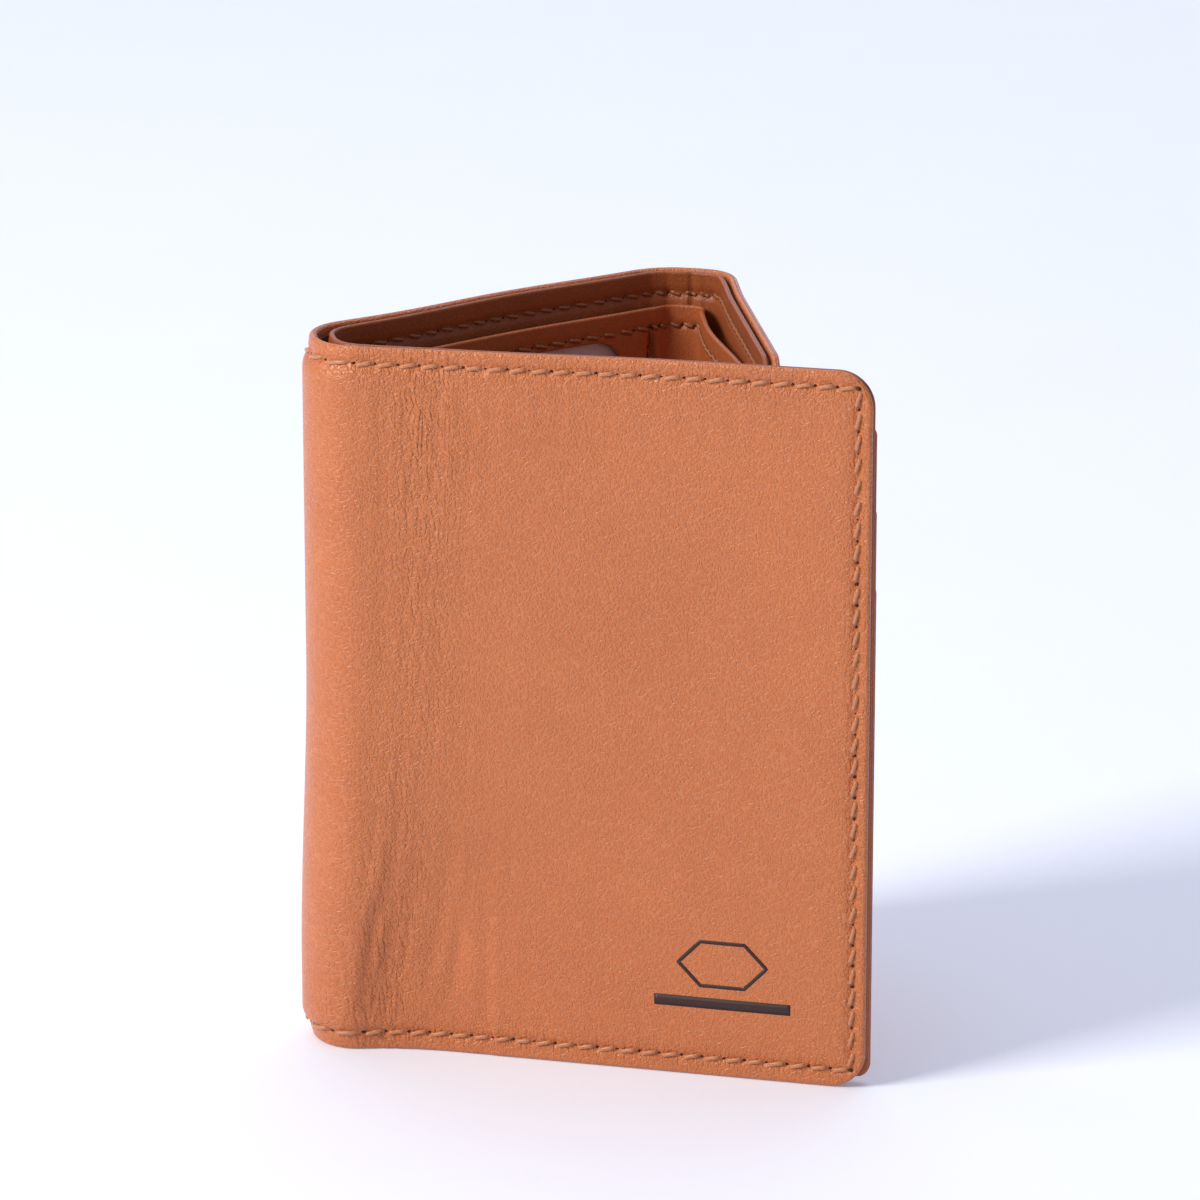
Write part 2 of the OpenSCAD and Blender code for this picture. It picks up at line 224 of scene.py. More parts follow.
# %% [markdown]
# ## The fold map
# A fold is a corner rounded off. Along the layer the heading turns smoothly from one panel's to
# the next panel's, over a strip on each side of the bend line, and adding up short steps in that
# heading gives the curve. A point at depth n lies n to the left of the curve, so deeper layers
# turn tighter, as in a real stack.

# %% Fold map
pivot = {j["name"]: np.array(j["pos_m"][:2]) * 1000 for j in frame["joints"] if "pos_m" in j}
# stretch: (joint, heading before it, turn, half strip, half of the part that bends, body before, body after)
FOLDS = {
    "flap": ("flap_bend", -249.0, 70.0, 6.0, 2.7, "flap", "fold_strip"),
    "fold": ("middle_bend", -179.0, 56.0, 6.0, 3.4, "fold_strip", "middle_panel"),
    "spine": ("spine_bend", -123.0, 61.5, 3.8, 1.5, "middle_panel", "spine_strip"),
    "cover": ("cover_bend", -61.5, 61.5, 3.8, 1.5, "spine_strip", "cover"),
}


def turned(t):
    """The share of the turn that is made at t of the strip: half of it evenly, half with t*t*(3-2t)."""
    return 0.5 * t + 0.5 * t * t * (3 - 2 * t)


def fold(stretch, u, z, n):
    """Flat place (u along, z up, n inwards, mm) to the folded place: the point on the rounded corner, plus n to its left."""
    joint, heading, degrees, half, _, _, _ = FOLDS[stretch]
    h, d = math.radians(heading), math.radians(degrees)
    t = np.linspace(0, 1, 801)
    angle = h + d * turned((t[1:] + t[:-1]) / 2)
    steps = np.stack([np.cos(angle), np.sin(angle)]) / 800
    across = steps.sum(1) @ np.array([math.cos(h + d / 2), math.sin(h + d / 2)])
    steps *= 2 * half * math.cos(d / 2) / across
    curve = np.concatenate([np.zeros((2, 1)), np.cumsum(steps, 1)], 1)
    s = np.clip(u / (2 * half) + 0.5, 0, 1)
    before, after = np.minimum(u + half, 0), np.maximum(u - half, 0)
    along = h + d * turned(s)
    x0, y0 = pivot[joint] - half * np.array([math.cos(h), math.sin(h)])
    x = x0 + np.interp(s, t, curve[0]) + before * math.cos(h) + after * math.cos(h + d) - n * np.sin(along)
    y = y0 + np.interp(s, t, curve[1]) + before * math.sin(h) + after * math.sin(h + d) + n * np.cos(along)
    return np.stack([x, y, z + 0 * x], -1) / 1000


def attach(obj, stretch, *nodes, slot=None):
    """Bakes the piece's place into its points and hides these CAD nodes, which it stands for. stretch and slot are not
    used.
    """
    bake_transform(obj)
    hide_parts(*nodes)
    return obj


print({k: [round(float(x), 2) for x in pivot[v[0]]] for k, v in FOLDS.items()})

# %% [markdown]
# ## Repeatable unevenness
# Hide is never even, but the file has to give the same wallet each time. Smooth noise from a
# small table of seeded random numbers gives swells and wrinkles that never change.

# %% Noise
TABLE = np.random.default_rng(7).random((64, 64))


def noise(x, y, seed=0):
    """Value noise from -1 to 1: the four table values round (x, y), blended with t*t*(3-2t)."""
    x, y = np.broadcast_arrays(np.asarray(x, float) + 17.3 * seed, np.asarray(y, float) + 5.9 * seed)
    i, j = np.floor(x).astype(int), np.floor(y).astype(int)
    s, t = x - i, y - j
    s, t = s * s * (3 - 2 * s), t * t * (3 - 2 * t)
    v = lambda a, b: TABLE[a % 64, b % 64]
    top = v(i, j) * (1 - s) + v(i + 1, j) * s
    low = v(i, j + 1) * (1 - s) + v(i + 1, j + 1) * s
    return 2 * (top * (1 - t) + low * t) - 1


def smooth(x, a, b):
    """0 below a, 1 above b, and smooth between."""
    t = np.clip((x - a) / (b - a), 0, 1)
    return t * t * (3 - 2 * t)


print("noise from", noise(np.arange(9) / 2, 0).min().round(2), "to", noise(np.arange(9) / 2, 0).max().round(2))

# %% [markdown]
# ## A leaf of leather
# Every panel is a leaf: a flat outline with rounded corners and a thickness. A grid of two
# parameters covers it twice, once for its face and once for its back, and the two meet at the
# rim, where the thickness falls along a quarter circle to nothing. Rows and columns are close
# together at the rim and along the seams, and wider where nothing happens. A window is cut by
# leaving out the cells inside it. Where the layer is cut between two stretches the grid ends
# square and is capped.


# %% Grid places
def spaced(a, b, step, fine=(), rims=(), r=0.6, strong=()):
    """Places from a to b about step apart, 0.33 apart within 1.3 of each fine place, bunched on a rim's own side."""
    bunch = np.array([0, 0.03, 0.11, 0.25, 0.45, 0.72, 1.0, 1.6]) * r
    held = [a, b] + [e for e, _ in rims]
    tight = [v for e, way in rims for v in e + way * bunch[1:]] + [v for v in strong]
    loose = list(np.linspace(a, b, max(2, int(round((b - a) / step)) + 1)))
    for f in fine:
        loose += list(np.arange(f - 1.32, f + 1.33, 0.33))
    kept = np.array(sorted(set(held)))
    for group, gap in ((tight, 0.01), (loose, 0.2)):
        group = np.array(sorted(v for v in group if a < v < b))
        group = group[np.abs(group[:, None] - kept).min(1) > gap] if len(group) else group
        thin = []
        for v in group:
            if not thin or v - thin[-1] > gap:
                thin.append(v)
        kept = np.sort(np.concatenate([kept, thin]))
    return kept


def build(name, points, faces, material_, flat, sharp=()):
    """A mesh object from points (m), faces and the flat coordinates (mm), shaded smooth."""
    mesh = bpy.data.meshes.new(name)
    mesh.from_pydata(points.reshape(-1, 3).tolist(), [], faces)
    mesh.update()
    mesh.attributes.new("flat", "FLOAT_VECTOR", "POINT").data.foreach_set("vector", flat.astype(np.float32).ravel())
    mesh.polygons.foreach_set("use_smooth", np.ones(len(mesh.polygons), bool))
    if len(sharp):
        ends_of = np.zeros(len(mesh.edges) * 2, int)
        mesh.edges.foreach_get("vertices", ends_of)
        mark = np.zeros(len(mesh.vertices), int)
        for k, group in enumerate(sharp, 1):
            mark[group] = k
        ends_of = mark[ends_of.reshape(-1, 2)]
        same = (ends_of[:, 0] > 0) & (ends_of[:, 0] == ends_of[:, 1])
        mesh.attributes.new("sharp_edge", "BOOLEAN", "EDGE").data.foreach_set("value", same)
    mesh.materials.append(material_)
    obj = bpy.data.objects.new(name, mesh)
    scene.collection.objects.link(obj)
    return obj


def quads(g):
    """The quads of a grid of vertex numbers."""
    return np.stack([g[:-1, :-1], g[1:, :-1], g[1:, 1:], g[:-1, 1:]], -1)


# %% Leaf
def outside(U, Z, a, b, c, d, radius):
    """How far (U, Z) is outside the rounded box a..b by c..d."""
    x = np.abs(U - (a + b) / 2) - (b - a) / 2 + radius
    y = np.abs(Z - (c + d) / 2) - (d - c) / 2 + radius
    return np.hypot(np.maximum(x, 0), np.maximum(y, 0)) + np.minimum(np.maximum(x, y), 0) - radius


def leaf(name, stretch, u0, u1, z0, z1, n0, n1, mat, ends=(False, False), radius=5.5, step=0.6, zstep=0.8,
         seams=(), side_seams=(), lie=None, back=None, hole=None, hole_r=6.0, crease=None):
    """A folded leaf over u0..u1, z0..z1 and depths n0..n1; ends says which of u0 and u1 are real edges.
    At distance d from the outline half the thickness is sqrt(r^2 - (r-d)^2), and lie adds depth (back: the inner face's own)."""
    mid, r = (n0 + n1) / 2, (n1 - n0) / 2
    turn_ = radius * (1 - np.cos(np.linspace(0, math.pi / 2, 12)))
    urims = [(e, w) for e, w, real in ((u0, 1, ends[0]), (u1, -1, ends[1])) if real]
    zrims = [(z0, 1), (z1, -1)]
    rows = [*(z0 + turn_), *(z1 - turn_)] if urims else []
    if hole:
        ha, hb, hc, hd = hole
        urims += [(ha, -1), (hb, 1)]
        zrims += [(hc, -1), (hd, 1)]
        ht = hole_r * (1 - np.cos(np.linspace(0, math.pi / 2, 10)))
        rows += [*(hc + ht), *(hd - ht)]
    u = spaced(u0, u1, step, side_seams, urims, r)
    z = spaced(z0, z1, zstep, seams, zrims, r, rows)
    U, Z = np.meshgrid(u, z, indexing="ij")
    gone = np.zeros((len(u) - 1, len(z) - 1), bool)
    rim = np.zeros(U.shape, bool)
    rim[:, [0, -1]] = True
    rim[0] |= ends[0]
    rim[-1] |= ends[1]
    pull = lambda k, q: q - np.sqrt(np.maximum(q * q - np.clip(k, 0, q) ** 2, 0))
    if hole:
        ia, ib, ic, id_ = (int(np.argmin(np.abs(g - v))) for g, v in ((u, ha), (u, hb), (z, hc), (z, hd)))
        gone[ia:ib, ic:id_] = True
        rim[ia : ib + 1, [ic, id_]] = True
        rim[[ia, ib], ic : id_ + 1] = True
        s = pull(np.maximum(hc + hole_r - Z, Z - hd + hole_r), hole_r) * (1 - smooth(np.maximum(hc - Z, Z - hd), 0, 2 * hole_r))
        half_w = (hb - ha) / 2
        U = U + s * np.clip(1 - np.maximum(ha - U, 0) / (1.5 * hole_r), 0, 1) * np.clip(((ha + hb) / 2 - U) / half_w, 0, 1)
        U0 = np.broadcast_to(u[:, None], U.shape)
        U = U - s * np.clip(1 - np.maximum(U0 - hb, 0) / (1.5 * hole_r), 0, 1) * np.clip((U0 - (ha + hb) / 2) / half_w, 0, 1)
    k = pull(np.maximum(z0 + radius - Z, Z - z1 + radius), radius)
    band = 2.2 * radius
    if ends[1]:
        U = U - k * np.clip((U - u1 + band) / band, 0, 1)
    if ends[0]:
        U = U + k * np.clip((u0 + band - U) / band, 0, 1)
    d = -outside(U, Z, u0 if ends[0] else u0 - 50, u1 if ends[1] else u1 + 50, z0, z1, radius if any(ends) else 0)
    if hole:
        d = np.minimum(d, outside(U, Z, *hole, hole_r))
    d = np.clip(np.where(rim, 0, d), 0, r)
    h = np.sqrt(np.maximum(r * r - (r - d) ** 2, 0))
    face = lie(U, Z) if lie else 0 * U
    inner = back(U, Z) if back else face
    inner = np.where(rim, face, inner)
    front, rear = fold(stretch, U, Z, mid - h + face), fold(stretch, U, Z, mid + h + inner)
    first = np.arange(U.size).reshape(U.shape)
    second = np.where(rim, first, np.cumsum(~rim.ravel()).reshape(U.shape) - 1 + U.size)
    points = np.concatenate([front.reshape(-1, 3), rear[~rim]])
    along = U + ALONG[stretch]
    flat = np.concatenate([np.stack([along, Z, mid - h], -1).reshape(-1, 3), np.stack([along, Z, mid + h + 9], -1)[~rim]])
    faces = [quads(first)[~gone], quads(second)[~gone][:, ::-1]]
    for k, real in ((0, ends[0]), (-1, ends[1])):
        if not real:
            p, q = first[k], second[k]
            strip = np.stack([p[:-1], p[1:], q[1:], q[:-1]], -1)
            faces.append(strip if k == 0 else strip[:, ::-1])
    polygons = [p for p in (list(dict.fromkeys(f)) for f in np.concatenate(faces).tolist()) if len(p) > 2]
    used = np.zeros(len(points), bool)
    used[np.unique(np.concatenate([np.ravel(f) for f in faces]))] = True
    number = np.cumsum(used) - 1
    polygons = [[int(number[v]) for v in p] for p in polygons]
    creased = crease(U, Z) if crease else 0.25 + 0 * U
    creased = np.concatenate([creased.ravel(), creased[~rim]])[used]
    caps = [number[np.unique([first[k], second[k]])] for k, real in ((0, ends[0]), (-1, ends[1])) if not real]
    obj = build(name, points[used], polygons, mat, flat[used], caps)
    obj.data.attributes.new("crease", "FLOAT", "POINT").data.foreach_set("value", creased.astype(np.float32))
    print(name, len(polygons), "faces")
    return obj


# %% [markdown]
# ## How the leather lies
# Three things move the leather off its flat place. Each row of stitches pulls it into a shallow
# valley with a deeper pit at every hole. The cover is sewn tight along its edges, so the spare
# hide near the spine gathers into upright wrinkles that are strongest beside the seams. And the
# middle panel bows a little outwards between its two folds.

# %% Sizes and the pull of a seam
H, INSET, TOP_ROW, FOOT_ROW = 110.0, 2.4, 107.6, 2.8
COVER_W, SPINE_W, MIDDLE_W, FOLD_W, FLAP_W = 80.8, 7.6, 66.0, 12.0, 61.2
SHELL_T, WALL_TOP, POCKET_TOP, POCKET_FOOT = 1.2, 109.8, 104.7, 1.0
WALL_ROW, POCKET_ROW = 106.3, POCKET_TOP - 3.2
WALL = (1.75, 2.55)
RIGHT = COVER_W - 2.1
LEFT = -FLAP_W + 2.1
PITCH = RIGHT / 24
COLUMN = (TOP_ROW - FOOT_ROW) / 32
S0, F0, CUT = SPINE_W / 2, FOLD_W / 2, MIDDLE_W / 2
# how far along the seam each stretch's own zero is from the cover's bend line
ALONG = {"cover": 0.0, "spine": -SPINE_W, "fold": -SPINE_W - MIDDLE_W, "flap": -SPINE_W - MIDDLE_W - FOLD_W}


def valley(dist, turns, depth=0.3, width=0.8, pits=0.5):
    """A seam's pull: depth over a bell of this width across it, and pits where turns is whole."""
    hole = np.exp(-((dist / 0.4) ** 2)) * np.maximum(0, np.cos(2 * np.pi * turns)) ** 6
    return depth * np.exp(-((dist / width) ** 2)) + pits * hole


def rows_pull(stretch, top=TOP_ROW, foot=FOOT_ROW, **how):
    """The pull of the seams along the top and the foot of a stretch."""
    return lambda U, Z: np.maximum(*(valley(Z - v, (U + ALONG[stretch]) / PITCH, **how) for v in (top, foot)))


def framed_pull(stretch, column, sign, top=TOP_ROW, foot=FOOT_ROW):
    """The pull of the top and foot seams up to a column of stitches, and of that column."""
    rows = rows_pull(stretch, top, foot)

    def pull(U, Z):
        past = smooth(sign * (column - U), -0.6, 0.6)
        inside = smooth(Z, foot - 0.6, foot + 0.6) * smooth(-Z, -top - 0.6, -top + 0.6)
        return np.maximum(rows(U, Z) * past, valley(U - column, (Z - foot) / COLUMN) * inside)

    return pull


def total(*parts):
    """The sum of several lies."""
    return lambda U, Z: sum(p(U, Z) for p in parts)


# %% Wrinkles, bow and bulge
# from each stretch's zero to the middle of the spine
SPINE_AT = {"cover": S0, "spine": -S0, "fold": -MIDDLE_W - S0}


def spine_bulge(stretch, depth=4.6):
    """The spine stands proud like a roll: depth over a bell round its middle, narrower at the top and foot on the cover."""
    shift = SPINE_AT[stretch]

    def bulge(U, Z):
        along, edge = U + shift, np.minimum(Z, H - Z)
        wide = np.where(along > 0, 9.0 + 10.0 * smooth(Z, 4.0, 50.0), 19.0)
        swell = -1.5 * np.exp(-(((U - 24) / 17) ** 2)) * smooth(Z, 5, 70) if stretch == "cover" else 0
        height = (0.72 + 0.28 * smooth(edge, 0.0, 5.0)) * (1 + 0.3 * smooth(-Z, -60, -12))
        return -depth * np.exp(-((along / wide) ** 2)) * (1 + (height - 1) * smooth(along, -9, 0)) + swell

    return bulge


def flap_round(U, Z):
    """The fold's corner on the flap side swells out by half a millimetre."""
    return -0.5 * np.exp(-(((U + 4) / 9.0) ** 2)) * smooth(-U, -6.0, 0.0)


def cover_wrinkles(U, Z):
    """Upright wrinkles 6-26 mm from the spine, leaning together towards the foot, fine creases under the top seam."""
    edge = np.minimum(Z, H - Z)
    lean = np.where(Z < H / 2, 0.16 * (H / 2 - Z) * smooth(-U, -24, -8), -0.05 * (Z - H / 2))
    x = U + lean + 1.2 * noise(U / 9, Z / 22, 8)
    near = smooth(U, 0.5, 5.0) * smooth(-U, -31.0, -12.0)
    ends = np.exp(-(((edge - 5) / 20.0) ** 2)) * smooth(edge, 3.0, 7.5)
    fade = 0.4 + 0.6 * smooth(-Z, -92, -45)
    ripple = 0.7 * noise(x / 1.7, Z / 30, 1) + 0.6 * noise(x / 0.9, Z / 14, 2)
    sharp = np.sign(ripple) * np.abs(ripple) ** 0.8
    wrinkle = -0.4 * near * fade * (0.25 + 0.9 * ends + 0.35 * smooth(-Z, -45, -10)) * sharp
    crease = -0.08 * np.exp(-(((H - Z - 8.0) / 4.5) ** 2)) * smooth(H - Z, 4.6, 6.0) * noise(U / 0.9, Z / 8, 3) * smooth(U, 0, 8)
    swell = -0.2 * noise(U / 17, Z / 21, 4) * smooth(edge, 4.0, 18.0) * smooth(-U, -76.0, -58.0) * smooth(U, 4.0, 16.0)
    return wrinkle + crease + swell


def bow(U, Z):
    """The middle panel bows outwards by up to 2.5 mm, a squared half sine over its length from the fold side."""
    return -2.5 * np.sin(np.pi * np.clip(U, 0, MIDDLE_W) / MIDDLE_W) ** 2


def from_spine(f):
    """A lie of the middle panel read from its spine side."""
    return lambda U, Z: f(U + MIDDLE_W, Z)


def fold_puckers(stretch):
    """Small upright puckers in the inner wall where it is pressed together in the fold, stronger at the top."""
    shift = {"flap": -F0, "fold": F0}[stretch]

    def puckers(U, Z):
        v = U + shift
        near = np.exp(-((v / 11.0) ** 2)) * smooth(Z, 40, 108)
        return 0.42 * near * noise(v / 1.9, Z / 18, 5) + 0.16 * near * noise(v / 0.9, Z / 9, 6)

    return puckers


def wall_gap(stretch):
    """The inner wall follows the spine's roll less, and leaves the hide by up to 1.3 mm at its top."""
    shift, roll = SPINE_AT[stretch], spine_bulge(stretch, 3.7)
    return lambda U, Z: roll(U, Z) + 0.7 * np.exp(-(((U + shift) / 6.0) ** 2)) * smooth(Z, 55, 107)


def creasing(stretch):
    """How creased the hide is, 0 to 1: beside every seam, in the corner of the cover by the spine, and at the folds."""
    def amount(U, Z):
        rows = np.minimum(np.abs(Z - TOP_ROW), np.abs(Z - FOOT_ROW))
        if stretch == "cover":
            rows = np.minimum(rows, np.abs(U - RIGHT))
        made = 0.75 * np.exp(-((rows / 2.6) ** 2))
        if stretch == "cover":
            low = H / 2 - Z
            band = 12.0 - 0.13 * np.maximum(low, 0) + 0.04 * np.maximum(-low, 0)
            corner = np.exp(-(((U - band) / 7.5) ** 2)) * (0.72 + 0.28 * smooth(np.abs(low), 12, 44))
            made = np.maximum(made, corner)
        return np.maximum(made, 0.25 * np.exp(-((U / 5.0) ** 2)))
    return amount


print("the spine stands", round(float(-spine_bulge("cover")(np.array(0.0), np.array(55.0))), 2), "mm proud at its bend line")

# %% [markdown]
# ## Outer leather
# One hide goes all the way round: flap, fold, middle, spine and cover. It is four leaves here,
# one for each joint it crosses, and they meet where the layer doesn't bend, so no seam shows.

# %% Outer leather
# stretch: (from, to, real ends, lie without seams, side seam and its sign)
STRETCHES = {
    "cover": (-S0, COVER_W, (False, True), None, (RIGHT, 1)),
    "spine": (-CUT, S0, (False, False), from_spine(bow), None),
    "fold": (-F0, CUT, (False, False), bow, None),
    "flap": (-FLAP_W, F0, (True, False), None, (LEFT, -1)),
}
NODES = {"cover": ["cover_"], "spine": ["spine_"], "fold": ["middle_"], "flap": ["flap_", "fold_"]}


def still(U, Z):
    """No added depth."""
    return 0 * U


SHAPES = {"cover": [spine_bulge("cover"), cover_wrinkles], "spine": [spine_bulge("spine")], "fold": [spine_bulge("fold")], "flap": [flap_round]}
for stretch, (a, b, ends, lie, side) in STRETCHES.items():
    pull = framed_pull(stretch, *side) if side else rows_pull(stretch)
    parts = [pull, lie or still, *SHAPES[stretch]]
    piece = leaf("outer_leather_" + stretch, stretch, a, b, 0, H, 0, SHELL_T, full_grain, ends,
                 seams=(FOOT_ROW, TOP_ROW), side_seams=[side[0]] if side else [], lie=total(*parts),
                 back=total(*parts[1:3]), crease=creasing(stretch))
    attach(piece, stretch, *(n + "shell" for n in NODES[stretch]), slot="outer_leather")

# %% [markdown]
# ## Inner wall and note lining
# Behind the outer leather a thinner wall closes the note compartment; it is sewn to the hide
# along the foot and both ends and is free at the top. The compartment is lined with a taffeta
# sheet, a quarter of a millimetre thick, cut square and laid against the hide.

# %% Inner wall and lining
for stretch, (a, b, ends, lie, side) in STRETCHES.items():
    base = {"cover": wall_gap("cover"), "spine": total(lie or still, wall_gap("spine")),
            "fold": total(lie or still, wall_gap("fold"), fold_puckers("fold")), "flap": total(flap_round, fold_puckers("flap"))}[stretch]
    top = WALL_ROW
    pull = framed_pull(stretch, *side, top=top) if side else rows_pull(stretch, top)
    sewn = lambda U, Z, base=base, pull=pull: base(U, Z) - pull(U, Z)
    piece = leaf("inner_wall_" + stretch, stretch, a, b, 0, WALL_TOP, *WALL, wall_hide, ends, seams=(FOOT_ROW, top),
                 side_seams=[side[0]] if side else [], lie=base, back=sewn, step=0.7, zstep=1.2)
    attach(piece, stretch, *(n + "inner_wall" for n in NODES[stretch]), slot="wall_leather")
    under = {"cover": spine_bulge("cover"), "spine": total(lie or still, spine_bulge("spine")), "fold": total(lie or still, spine_bulge("fold")), "flap": flap_round}[stretch]
    a2, b2 = a + 1.5 * ends[0], b - 1.5 * ends[1]
    cloth = leaf("note_lining_" + stretch, stretch, a2, b2, 1.5, H - 1.5, 1.26, 1.5, taffeta, ends, radius=4.0,
                 lie=under, step=1.2, zstep=2.5)
    attach(cloth, stretch, *(n + "bill_lining" for n in NODES[stretch]), slot="taffeta_lining")

# %% [markdown]
# ## Card slots
# Three stepped card slots are sewn inside the cover. Their leather is shaved thin, each one
# starts lower than the one behind it, and they stand on the cover without touching a joint, so
# they ride on it.

# %% Card slots
SLOTS_START, SLOT_T = 6.32, 0.45
slot_lie = wall_gap("cover")
for i, (name, top) in enumerate((("top", 102.0), ("middle", 90.0), ("bottom", 78.0))):
    n = WALL[1] + i * SLOT_T
    piece = leaf("card_slot_" + name, "cover", SLOTS_START, COVER_W + 0.15, POCKET_FOOT, top, n + 0.01, n + SLOT_T, pocket_hide,
                 (True, True), radius=2.0, seams=(FOOT_ROW, top - 2), side_seams=(SLOTS_START + 3,),
                 lie=lambda U, Z, t=top: slot_lie(U, Z) + 0.05 * np.exp(-(((Z - t + 2.2) / 0.5) ** 2)), step=1.0, zstep=1.6)
    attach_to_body(piece, "cover")
    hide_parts("cover_slot_" + name)

# %% [markdown]
# ## Window pocket and slip pocket
# One thin leather runs from the window pocket on the middle panel round the fold to the flap,
# where it makes a slip pocket. It is sewn down at its sides and foot, stands off where it is
# free, and has a window with round corners for a card. The pocket is a leaf with a hole, and
# its rise off the wall is a lie like any other.

# %% Pockets
WINDOW = (10.1, 55.24, 18.5, 100.5)
POCKET_END = 62.6
SIDE_SEAM = 4.1


middle_lie = total(bow, wall_gap("fold"))


def window_rise(U, Z):
    """The pocket's front lies 1.25 mm off the wall and comes down to it at the spine side, the foot and the fold seam."""
    end = smooth(POCKET_END - U, 1.6, 3.6)
    foot = smooth(Z, 2.2, 4.6)
    seam = 1 - 0.8 * np.exp(-(((U - SIDE_SEAM) / 1.3) ** 2)) * smooth(-Z, -104.0, -96.0)
    ahead = smooth(U, -3.0, 3.0)
    free = 0.5 * smooth(Z, 60, 104) * np.exp(-(((U - 28) / 22) ** 2))
    return middle_lie(U, Z) + 0.25 * (1 - ahead) + 1.25 * end * foot * seam * ahead + free * end * ahead


def pocket_pull(U, Z):
    """The seams of the window pocket: under its top, along its foot, and at both sides."""
    rows = rows_pull("fold", POCKET_ROW, FOOT_ROW, depth=0.15)(U, Z)
    side = np.maximum(valley(U - SIDE_SEAM, Z / PITCH, 0.15), valley(U - POCKET_END + 2.2, Z / PITCH, 0.15))
    return np.maximum(rows, side * smooth(-Z, -POCKET_TOP + 3.0, -POCKET_TOP + 3.8))


pocket = leaf("window_pocket_leather", "fold", -F0, POCKET_END, POCKET_FOOT, POCKET_TOP, WALL[1] + 0.02, WALL[1] + 0.8, pocket_hide,
              (False, True), radius=3.0, hole=WINDOW, seams=(FOOT_ROW, POCKET_ROW), side_seams=(SIDE_SEAM, POCKET_END - 2.2),
              lie=window_rise, back=lambda U, Z: window_rise(U, Z) - pocket_pull(U, Z), step=0.9, zstep=1.2)
attach(pocket, "fold", "window_pocket", slot="pocket_leather")
pane = leaf("window_pane_vinyl", "fold", WINDOW[0] - 2, WINDOW[1] + 2, WINDOW[2] - 2, WINDOW[3] + 2, 3.5, 3.72, vinyl,
            (True, True), radius=5.0, lie=middle_lie, step=1.5, zstep=2.5)
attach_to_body(pane, "middle_panel")
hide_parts("window_pane")
card = leaf("card_insert", "fold", 32.67 - 25.57, 32.67 + 25.57, 4.3, 100.5, 3.06, 3.4, card_board,
            (True, True), radius=3.2, lie=middle_lie, step=1.5, zstep=2.5)
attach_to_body(card, "card")
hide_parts("filler_card")


def slip_rise(U, Z):
    """The slip pocket stands off the flap by up to 2.6 mm near the fold, most at its open top, and is sewn down at its end."""
    open_ = smooth(Z, 4.0, 60.0)
    return flap_round(U, Z) + 0.25 + 2.3 * open_ * smooth(U, -48.0, -14.0) * smooth(-U, -5.0, 6.0) * (0.5 + 0.5 * smooth(Z, 60, 104))


def slip_pull(U, Z):
    """The slip pocket's seams under its top, along its foot and at its free end."""
    rows = rows_pull("flap", POCKET_ROW, FOOT_ROW, depth=0.15)(U, Z) * smooth(U, LEFT - 0.6, LEFT + 0.6)
    return np.maximum(rows, valley(U - LEFT, Z / PITCH, 0.15) * smooth(-Z, -POCKET_TOP + 3.0, -POCKET_TOP + 3.8))


slip = leaf("slip_pocket", "flap", -FLAP_W + 2.4, F0, POCKET_FOOT, POCKET_TOP, WALL[1] + 0.02, WALL[1] + 0.8, pocket_hide,
            (True, False), radius=3.0, seams=(FOOT_ROW, POCKET_ROW), side_seams=(LEFT,), lie=slip_rise,
            back=lambda U, Z: slip_rise(U, Z) - slip_pull(U, Z), step=0.8, zstep=1.2)
attach(slip, "flap", "fold_pocket", "flap_pocket", slot="pocket_leather")

# %% [markdown]
# ## Stitches
# Saddle stitches: each is about two and a half millimetres of waxed thread, leaning a little,
# with both ends pulled down into a hole. One stitch is a tube whose round section has three
# lobes that turn as it goes, which gives the laid strands. All the stitches of a stretch are
# one mesh, so that they bend with their leather.


# %% Stitches
def stitches(stretch, rows, side, base, lie, length=2.6, radius=0.31):
    """Tubes along each (u, z, way) of rows: they rise 0.45*(1-s^4) out of their holes and the radius has three turning lobes."""
    spots = np.concatenate([np.stack(np.broadcast_arrays(*(np.asarray(v, float) for v in row)), -1).reshape(-1, 3) for row in rows])
    s = np.linspace(-1, 1, 11)
    a = np.linspace(0, 2 * np.pi, 9)[:-1]
    S, A = np.meshgrid(s, a, indexing="ij")
    thick = radius * (1 + 0.22 * np.cos(3 * (A - 2.6 * S))) * np.sqrt(np.maximum(1 - 0.75 * S**6, 0.03))
    jitter = TABLE[np.arange(len(spots)) % 64, (np.arange(len(spots)) * 7) % 64][:, None, None] - 0.5
    lean = spots[:, 2][:, None, None] + 0.22 + 0.12 * jitter
    run, across = S * length / 2 * (1 + 0.05 * jitter), thick * np.cos(A) + 0 * lean
    U = spots[:, 0][:, None, None] + run * np.cos(lean) - across * np.sin(lean)
    Z = spots[:, 1][:, None, None] + run * np.sin(lean) + across * np.cos(lean)
    centre_u = spots[:, 0][:, None, None] + run * np.cos(lean)
    centre_z = spots[:, 1][:, None, None] + run * np.sin(lean)
    rise = 0.45 * (1 - S**4) - 0.22 + 0.8 * thick * np.sin(A)
    N = base + lie(centre_u, centre_z) + side * rise
    points = fold(stretch, U, Z, N)
    count, ns, na = U.shape
    g = np.arange(count * ns * na).reshape(count, ns, na)
    g = np.concatenate([g, g[:, :, :1]], 2)
    f = np.stack([g[:, :-1, :-1], g[:, 1:, :-1], g[:, 1:, 1:], g[:, :-1, 1:]], -1).reshape(-1, 4)
    f = f if side > 0 else f[:, ::-1]
    ends_ = np.concatenate([g[:, 0, :-1][:, :: 1 if side > 0 else -1], g[:, -1, :-1][:, :: -1 if side > 0 else 1]])
    strands = np.stack([run * 1.0 + 0 * A, A / (2 * np.pi) * 1.8 + 0 * run, 0 * run + spots[:, 0][:, None, None]], -1)
    return points.reshape(-1, 3), f.tolist() + ends_.tolist(), strands.reshape(-1, 3)


